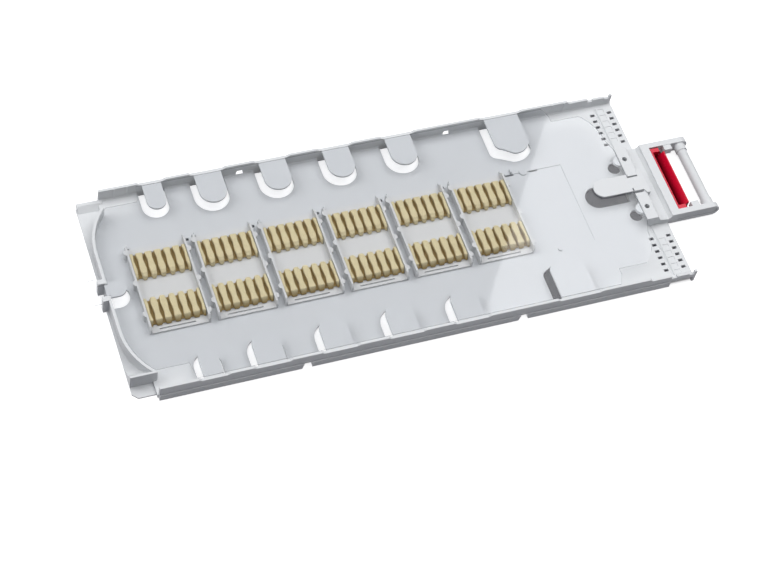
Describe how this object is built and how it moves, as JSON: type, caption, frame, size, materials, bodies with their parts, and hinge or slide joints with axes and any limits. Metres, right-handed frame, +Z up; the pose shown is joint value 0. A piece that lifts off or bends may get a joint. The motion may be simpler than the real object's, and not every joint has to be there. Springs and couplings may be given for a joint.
{
  "type": "fibre splice tray",
  "caption": "Long shallow moulded tray for fibre splices, with comb-shaped splice holders, clear cover, curved end rib, tube landings and a hinge frame with a red latch.",
  "frame": {"origin": "on the axis of the hinge shaft at the right end, midway between the two arms of the hinge frame", "axes": "+Y along the hinge shaft, +Z up out of the tray's open side, +X away from the splice holders, so the tray reaches along -X"},
  "size_m": [0.3205, 0.115, 0.0101],
  "materials": {
    "tray_plastic": "satin moulded, light grey",
    "holder_plastic": "satin moulded, natural white",
    "comb_rubber": "soft matt, ivory",
    "clear_sheet": "clear polished sheet",
    "latch_plastic": "glossy moulded, red"
  },
  "bodies": {
    "tray": {"tray_body": "tray_plastic", "splice_holder_1": "holder_plastic", "splice_holder_2": "holder_plastic", "splice_holder_3": "holder_plastic", "splice_holder_4": "holder_plastic", "splice_holder_5": "holder_plastic", "splice_holder_6": "holder_plastic", "splice_comb_1_far": "comb_rubber", "splice_comb_1_near": "comb_rubber", "splice_comb_2_far": "comb_rubber", "splice_comb_2_near": "comb_rubber", "splice_comb_3_far": "comb_rubber", "splice_comb_3_near": "comb_rubber", "splice_comb_4_far": "comb_rubber", "splice_comb_4_near": "comb_rubber", "splice_comb_5_far": "comb_rubber", "splice_comb_5_near": "comb_rubber", "splice_comb_6_far": "comb_rubber", "splice_comb_6_near": "comb_rubber", "clear_cover": "clear_sheet"},
    "latch": {"hinge_latch": "latch_plastic"}
  },
  "joints": [
    {"name": "latch_hinge", "type": "hinge", "parent": "tray", "child": "latch", "pos_m": [-0.0127, 0, -0.0011], "axis": [0, 1, 0], "range_deg": [0, 44]}
  ]
}
